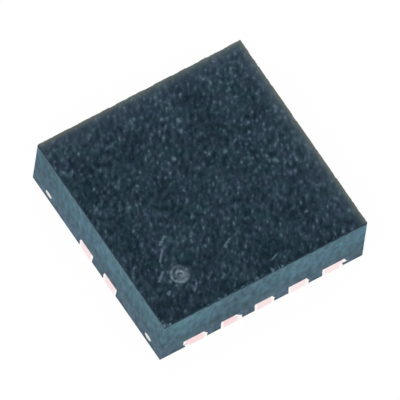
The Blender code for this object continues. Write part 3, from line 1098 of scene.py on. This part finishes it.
    def paint(self, data: bpy.types.Mesh) -> None:
        """Stores how pale, worn and broken the surface is at each point, and its painted highlight along the
        far edges.

        Args:
            data: The body's finished mesh.
        """
        places = np.empty(len(data.vertices) * 3)
        data.vertices.foreach_get("co", places)
        places = places.reshape(-1, 3)
        upper = np.flatnonzero(places[:, 2] > self.high.z - self.skin_zone)
        tone = np.zeros(len(places))
        tone[upper] = self.rank(np.array([self.paleness(x, y) for x, y, _ in places[upper]]))
        layers = {name: np.zeros(len(places)) for name in ("worn", "broken", "far_edge_highlight")}
        for number in np.flatnonzero(places[:, 2] > self.high.z - self.edge_zone):
            point = Vector(places[number])
            deep = max(0.0, self.high.z - self.most_relief - point.z)
            worn = [self.mark.burn(point.x, point.y)]
            for chip in self.chips:
                worn.append(chip.burn(point.x, point.y) * math.exp(-((deep / chip.width) ** 2)))
            layers["worn"][number] = max(worn)
            for side in Side:
                gap = self.gap(point, side)
                broken = self.arris.broken(point.dot(side.along), gap + deep, side)
                layers["broken"][number] = max(layers["broken"][number], broken)
                layers["far_edge_highlight"][number] = max(layers["far_edge_highlight"][number], self.arris.far_edge_highlight(gap, side))
        for name, values in (("tone", tone), *layers.items()):
            layer = data.attributes.new(name, "FLOAT", "POINT")
            layer.data.foreach_set("value", values.astype(np.float32))


def settle(piece: bpy.types.Object) -> None:
    """Applies the live modifiers of a piece to its mesh.

    Args:
        piece: The piece, which keeps its place.
    """
    graph = bpy.context.evaluated_depsgraph_get()
    data = bpy.data.meshes.new_from_object(piece.evaluated_get(graph))
    piece.modifiers.clear()
    piece.data = data


def smooth(data: bpy.types.Mesh, sharpest: float) -> None:
    """Shades a mesh smooth, but for its edges that are sharper than an angle in degrees."""
    data.shade_smooth()
    data.set_sharp_from_angle(angle=math.radians(sharpest))


@dataclass(frozen=True)
class SawnEnd:
    """What the blade did to one sawn copper end.

    It smeared resin back over the end's upper leaving corner, dragged its lower leaving
    corner on, and spread copper over a share of the notch under the entry side's ledge. The
    end's middle stays more or less rosy under the white of its edges, which is partly burnished
    and partly a painted highlight.
    """

    smeared: float = 0.02 * MM
    dragged: float = 0.02 * MM
    spread: float = 0.9
    rosy: float = 0.6


@dataclass
class LeadFrame:
    """The terminals and the thermal pad: etched copper, plated, then sawn off its strip."""

    nodes: dict[str, bpy.types.Object]
    body_x: float = 1.5 * MM
    body_y: float = 1.5 * MM
    slab: float = 0.006 * MM
    cell: float = 0.012 * MM
    edge_round: float = 0.007 * MM
    streak_depth: float = 0.001 * MM
    arms_above: float = 0.05 * MM
    entry_band: float = 0.055 * MM
    leaving_band: float = 0.06 * MM
    drag_length: float = 0.08 * MM
    near: float = 0.0005 * MM
    flat: float = math.radians(0.5)
    sharpest: float = 35.0
    upright: float = 0.7
    # How the resin film with its painted shadow hem, and the white edges, partly burnished and partly a
    # painted highlight, lie on an end.
    arm_film: float = 0.14
    # Where the arms' painted shadow hem begins, and how soft it is.
    arm_rim: float = 0.82
    arm_blur: float = 0.36
    film_below: float = 0.7
    film_past: float = 0.3
    # How strongly the edges whiten: partly burnish, partly painted highlight.
    burnish_and_highlight_gain: float = 1.6
    foot: float = 0.08 * MM
    foot_pale: float = 0.5
    notch_low: float = 0.3
    notch_rise: float = 1.4
    same_level: float = 0.6
    streak_length: float = 0.3 * MM
    streak_height: float = 0.02 * MM
    ends: dict[str, SawnEnd] = field(
        default_factory=lambda: {
            "terminal_1": SawnEnd(0.062 * MM, 0.030 * MM, 0.9, 0.82),
            "terminal_2": SawnEnd(0.078 * MM, 0.055 * MM, 0.9, 0.78),
            "terminal_3": SawnEnd(0.045 * MM, 0.018 * MM, 0.9, 0.60),
            "terminal_4": SawnEnd(0.035 * MM, 0.030 * MM, 0.9, 0.45),
            "terminal_5": SawnEnd(0.034 * MM, 0.030 * MM, 0.9, 0.50),
        }
    )

    def build(self) -> list[bpy.types.Object]:
        """Builds every terminal and the pad, and dresses them.

        Returns:
            The finished pieces, each standing for the node in its name.
        """
        made = []
        for name in sorted(self.nodes):
            piece = finished(name.replace("terminal", "lead").replace("thermal", "die"), self.shape(name))
            for kind in (MatteTin, SawnCopper):
                piece.data.materials.append(MATERIALS[kind])
            smooth(piece.data, self.sharpest)
            made.append(piece)
        return made

    def shape(self, name: str) -> bmesh.types.BMesh:
        """One piece of the frame, with rounded lands and dragged, streaked saw cuts.

        Args:
            name: The CAD node that it stands for.

        Returns:
            A closed bmesh.
        """
        mesh = merged_copy(self.nodes[name])
        bmesh.ops.dissolve_limit(mesh, angle_limit=self.flat, verts=mesh.verts, edges=mesh.edges)
        self.round_lands(mesh)
        layers = {layer: mesh.verts.layers.float.new(layer) for layer in ("pale", "film")}
        for side in Side:
            self.saw(mesh, side, self.ends.get(name, SawnEnd()), layers)
        bmesh.ops.triangulate(mesh, faces=[face for face in mesh.faces if len(face.verts) > 4])
        return mesh

    def round_lands(self, mesh: bmesh.types.BMesh) -> None:
        """Rounds the rim of the face that is soldered, as etching leaves it.

        Args:
            mesh: A piece of the frame, with its land at height 0.
        """
        rim = [
            edge
            for edge in mesh.edges
            if max(vertex.co.z for vertex in edge.verts) < self.near
            and any(abs(face.normal.z) < self.upright for face in edge.link_faces)
            and not all(self.flush(vertex.co) for vertex in edge.verts)
        ]
        shape = {"offset": self.edge_round, "segments": 2, "profile": 0.5}
        bmesh.ops.bevel(mesh, geom=rim, affect="EDGES", material=-1, **shape)

    def flush(self, point: Vector) -> bool:
        """Whether a point lies in the plane of a saw cut."""
        return abs(point.x) > self.body_x - self.near or abs(point.y) > self.body_y - self.near

    def saw(
        self,
        mesh: bmesh.types.BMesh,
        side: Side,
        end: SawnEnd,
        layers: dict[str, bmesh.types.BMLayerItem],
    ) -> None:
        """Works the cut of one side: splits it finely, drags its corners and streaks it.

        Args:
            mesh: A piece of the frame.
            side: The side of the package.
            end: What the blade did to the piece.
            layers: The vertex layers "pale" and "film".
        """
        if not self.cut_faces(mesh, side):
            return
        parts = [*mesh.verts, *mesh.edges, *mesh.faces]
        behind = side.outwards * (self.reach(side) - self.slab)
        bmesh.ops.bisect_plane(mesh, geom=parts, plane_co=behind, plane_no=side.outwards)
        for axis in (side.along, Vector((0.0, 0.0, 1.0))):
            spans = [vertex.co.dot(axis) for face in self.cut_faces(mesh, side) for vertex in face.verts]
            low, high = min(spans), max(spans)
            steps = max(1, round((high - low) / self.cell))
            for step in range(1, steps):
                faces = self.cut_faces(mesh, side)
                geom = {*faces}
                for face in faces:
                    geom.update(face.edges, face.verts)
                place = axis * (low + (high - low) * step / steps)
                bmesh.ops.bisect_plane(mesh, geom=list(geom), plane_co=place, plane_no=axis)
        faces = self.cut_faces(mesh, side)
        for face in faces:
            face.material_index = Cut.SAWN
        for island in self.islands(faces):
            self.work_end(island, side, end, layers)

    def cut_faces(self, mesh: bmesh.types.BMesh, side: Side) -> list[bmesh.types.BMFace]:
        """The faces that lie in the plane of a side's saw cut."""
        outwards, reach = side.outwards, self.reach(side) - self.near
        return [face for face in mesh.faces if all(vert.co.dot(outwards) > reach for vert in face.verts)]

    def reach(self, side: Side) -> float:
        """How far a side lies from the middle of the package."""
        return self.body_x if side.value[0] else self.body_y

    def islands(self, faces: list[bmesh.types.BMFace]) -> list[list[bmesh.types.BMVert]]:
        """Splits the faces of a cut into the separate ends that it shows.

        Args:
            faces: The faces of one cut.

        Returns:
            The vertices of each end.
        """
        waiting = set(faces)
        found = []
        while waiting:
            front = [waiting.pop()]
            corners: set[bmesh.types.BMVert] = set()
            while front:
                face = front.pop()
                corners.update(face.verts)
                for edge in face.edges:
                    for other in edge.link_faces:
                        if other in waiting:
                            waiting.remove(other)
                            front.append(other)
            found.append(list(corners))
        return found

    def work_end(
        self,
        corners: list[bmesh.types.BMVert],
        side: Side,
        end: SawnEnd,
        layers: dict[str, bmesh.types.BMLayerItem],
    ) -> None:
        """Drags, smears and streaks one sawn end.

        Args:
            corners: The vertices of the end.
            side: The side that it is on.
            end: What the blade did to it.
            layers: The vertex layers "pale" and "film".
        """
        places = np.array([(vertex.co.dot(side.along), vertex.co.z) for vertex in corners])
        (start, bottom), (finish, top) = places.min(axis=0), places.max(axis=0)
        for vertex, (run, z) in zip(corners, places):
            level = places[np.abs(places[:, 1] - z) < self.same_level * self.cell, 0]
            up = (z - bottom) / (top - bottom)
            if bottom > self.arms_above:
                across = 2.0 * (run - start) / (finish - start) - 1.0
                rim = math.hypot(across, 2.0 * up - 1.0)
                # The arms are painted white, partly burnished and partly a painted highlight, with a painted
                # shadow as a dark hem round their rim.
                film, pale = max(self.arm_film, (rim - self.arm_rim) / self.arm_blur), 1.0
            else:
                edge = level.max() - end.smeared * max(0.0, 2.0 * up - 1.0)
                past = max(run - edge, z - top + self.film_below * self.cell)
                # The film rises past the smeared edge and along the top. Its thin olive hem is a painted
                # shadow along the copper's edge.
                film = past / self.cell + self.film_past
                entry = 1.0 - (run - level.min()) / self.entry_band
                leaving = 1.0 - abs(edge - run) / self.leaving_band
                low = self.foot_pale * (1.0 - z / self.foot)
                # Nearly white near the entry and leaving edges and the foot: partly burnished copper, partly
                # a painted highlight.
                pale = max(1.0 - end.rosy, min(1.0, self.burnish_and_highlight_gain * max(entry, leaving)), low)
                leave = max(0.0, 1.0 - (level.max() - run) / self.drag_length)
                enter = max(0.0, 1.0 - (run - level.min()) / self.drag_length)
                notch = (level.min() - start) * (self.notch_low + self.notch_rise * up)
                vertex.co += side.along * end.dragged * leave**2 * (1.0 - up)
                vertex.co -= side.along * end.spread * notch * enter**2
            vertex[layers["film"]] = min(1.0, max(0.0, film))
            vertex[layers["pale"]] = pale
            streak = noise.noise((run / self.streak_length, z / self.streak_height, 1.5))
            vertex.co -= side.outwards * self.streak_depth * (0.5 + 0.5 * streak)


@dataclass
class DieStack:
    """The die, its attach and the bond wires, which keep their CAD shapes."""

    nodes: dict[str, bpy.types.Object]

    def dress(self) -> None:
        """Gives each hidden piece its finish."""
        kinds = {"silicon_die": PolishedSilicon, "die_attach": SilverEpoxy}
        for name, node in sorted(self.nodes.items()):
            material = MATERIALS[kinds.get(name, DrawnGold)]
            node.data.materials.clear()
            node.data.materials.append(material)
            LOG.info("%s takes %s", name, material.name)


# Studio


def towards(azimuth: float, elevation: float) -> Vector:
    """The way from the chip to a place, by its degrees round from the front and up from the table."""
    a, e = math.radians(azimuth), math.radians(elevation)
    return Vector((math.sin(a) * math.cos(e), -math.cos(a) * math.cos(e), math.sin(e)))


@dataclass(frozen=True)
class Lamp:
    """A soft distant lamp, placed by the way that it shines from."""

    name: str
    azimuth: float
    elevation: float
    share: float
    softness: float = 50.0
    distance: float = 50.0 * MM

    def hang(self) -> None:
        """Adds the lamp. Its share is the part of a plain light that it gives head on."""
        light = bpy.data.lights.new(self.name, "SUN")
        light.energy = self.share * math.pi
        light.angle = math.radians(self.softness)
        lamp = bpy.data.objects.new(self.name, light)
        source = towards(self.azimuth, self.elevation)
        lamp.rotation_euler = source.to_track_quat("Z", "Y").to_euler()
        lamp.location = source * self.distance
        # Metal mirrors the white room alone, as it does in a light tent.
        lamp.visible_glossy = False
        bpy.context.scene.collection.objects.link(lamp)


@dataclass
class Studio:
    """A white table under plain soft light, and the camera of the photograph."""

    floor_half: float = 300.0 * MM
    floor_grey: float = 0.8
    shadow_share: float = 0.05
    sky: float = 0.5
    azimuth: float = -39.75
    elevation: float = 61.15
    roll: float = 8.69
    frame_width: float = 5.0 * MM
    distance: float = 60.0 * MM
    lamps: tuple[Lamp, ...] = (
        Lamp("key_lamp", azimuth=-75.0, elevation=50.0, share=0.34),
        Lamp("fill_lamp", azimuth=0.0, elevation=45.0, share=0.26),
        Lamp("back_lamp", azimuth=150.0, elevation=50.0, share=0.2),
    )

    def build(self) -> None:
        """Sets the table, the light and the camera."""
        self.lay_floor()
        self.light_room()
        for lamp in self.lamps:
            lamp.hang()
        self.place_camera()

    def lay_floor(self) -> None:
        """Lays the white table, whose far parts the eye sees as plain white."""
        mesh = bmesh.new()
        bmesh.ops.create_grid(mesh, x_segments=4, y_segments=4, size=self.floor_half)
        floor = finished("studio_table", mesh)
        made = bpy.data.materials.new("acrylic_sheet_white_matt")
        made.use_nodes = True
        tree = made.node_tree
        tree.nodes.clear()
        grey = (self.floor_grey,) * 3 + (1.0,)
        lit = add_node(tree, "ShaderNodeBsdfDiffuse", {"Color": grey})
        shadowed = add_node(tree, "ShaderNodeBsdfDiffuse", {"Color": (self.shadow_share,) * 3 + (1.0,)})
        white = add_node(tree, "ShaderNodeEmission", {"Strength": 1.0 - self.shadow_share})
        seen = add_node(tree, "ShaderNodeAddShader", {0: shadowed.outputs[0], 1: white.outputs[0]})
        add_node(tree, "ShaderNodeOutputMaterial", {"Surface": Nodes(tree).shown(lit, seen)})
        floor.data.materials.append(made)
        floor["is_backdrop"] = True

    def light_room(self) -> None:
        """Fills the room with even light, and sets the view transform."""
        scene = bpy.context.scene
        world = bpy.data.worlds.new("studio_room")
        world.use_nodes = True
        tree = world.node_tree
        tree.nodes.clear()
        white = linear("#ffffff")
        light = add_node(tree, "ShaderNodeBackground", {"Color": white, "Strength": self.sky})
        shown = add_node(tree, "ShaderNodeBackground", {"Color": white, "Strength": 1.0})
        add_node(tree, "ShaderNodeOutputWorld", {"Surface": Nodes(tree).shown(light, shown)})
        scene.world = world
        scene.view_settings.view_transform = "Standard"

    def place_camera(self) -> None:
        """Puts the camera at the photograph's angle, far enough off to see no perspective."""
        data = bpy.data.cameras.new("product_camera")
        data.type = "ORTHO"
        data.ortho_scale = self.frame_width
        data.clip_start, data.clip_end = 1.0 * MM, 1000.0 * MM
        camera = bpy.data.objects.new("product_camera", data)
        turned = math.radians(self.azimuth)
        back = towards(self.azimuth, self.elevation)
        right = Vector((math.cos(turned), math.sin(turned), 0.0))
        up = back.cross(right)
        turn = Matrix((right, up, back)).transposed() @ Matrix.Rotation(math.radians(self.roll), 3, "Z")
        low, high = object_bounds()
        camera.matrix_world = Matrix.Translation((low + high) / 2 + back * self.distance) @ turn.to_4x4()
        bpy.context.scene.collection.objects.link(camera)
        bpy.context.scene.camera = camera


MATERIALS: dict[type[Finish], bpy.types.Material] = {}


def mix_finishes() -> None:
    """Makes each finish's material once, for every piece that has it."""
    for kind in (
        MouldedSkin,
        SawnCompound,
        ReleasedCompound,
        SawnCopper,
        MatteTin,
        PolishedSilicon,
        SilverEpoxy,
        DrawnGold,
    ):
        MATERIALS[kind] = kind().material()


def hand_over(piece: bpy.types.Object, node: str, slot: str) -> None:
    """Ties a finished piece to the CAD frame.

    Args:
        piece: The piece.
        node: The CAD node that it stands for.
        slot: The record's material slot; not used.
    """
    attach(piece, "root")
    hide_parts(node)
    triangles = sum(len(face.vertices) - 2 for face in piece.data.polygons)
    LOG.info("%s stands for %s with %d triangles", piece.name, node, triangles)


def main() -> None:
    """Builds the whole dressed chip and its studio."""
    logging.basicConfig(level=logging.INFO, format="%(name)s: %(message)s")
    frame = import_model()
    nodes = frame["nodes"]
    mix_finishes()

    body = MouldedBody(nodes["mould_body"]).build()
    hand_over(body, "mould_body", MouldedSkin().slot)

    metal = {name: node for name, node in nodes.items() if name.startswith(("terminal_", "thermal_"))}
    for name, piece in zip(sorted(metal), LeadFrame(metal).build()):
        hand_over(piece, name, MatteTin().slot)

    rest = {name: node for name, node in nodes.items() if name not in metal and name != "mould_body"}
    DieStack(rest).dress()

    Studio().build()
    bpy.context.view_layer.update()


if __name__ == "__main__":
    main()
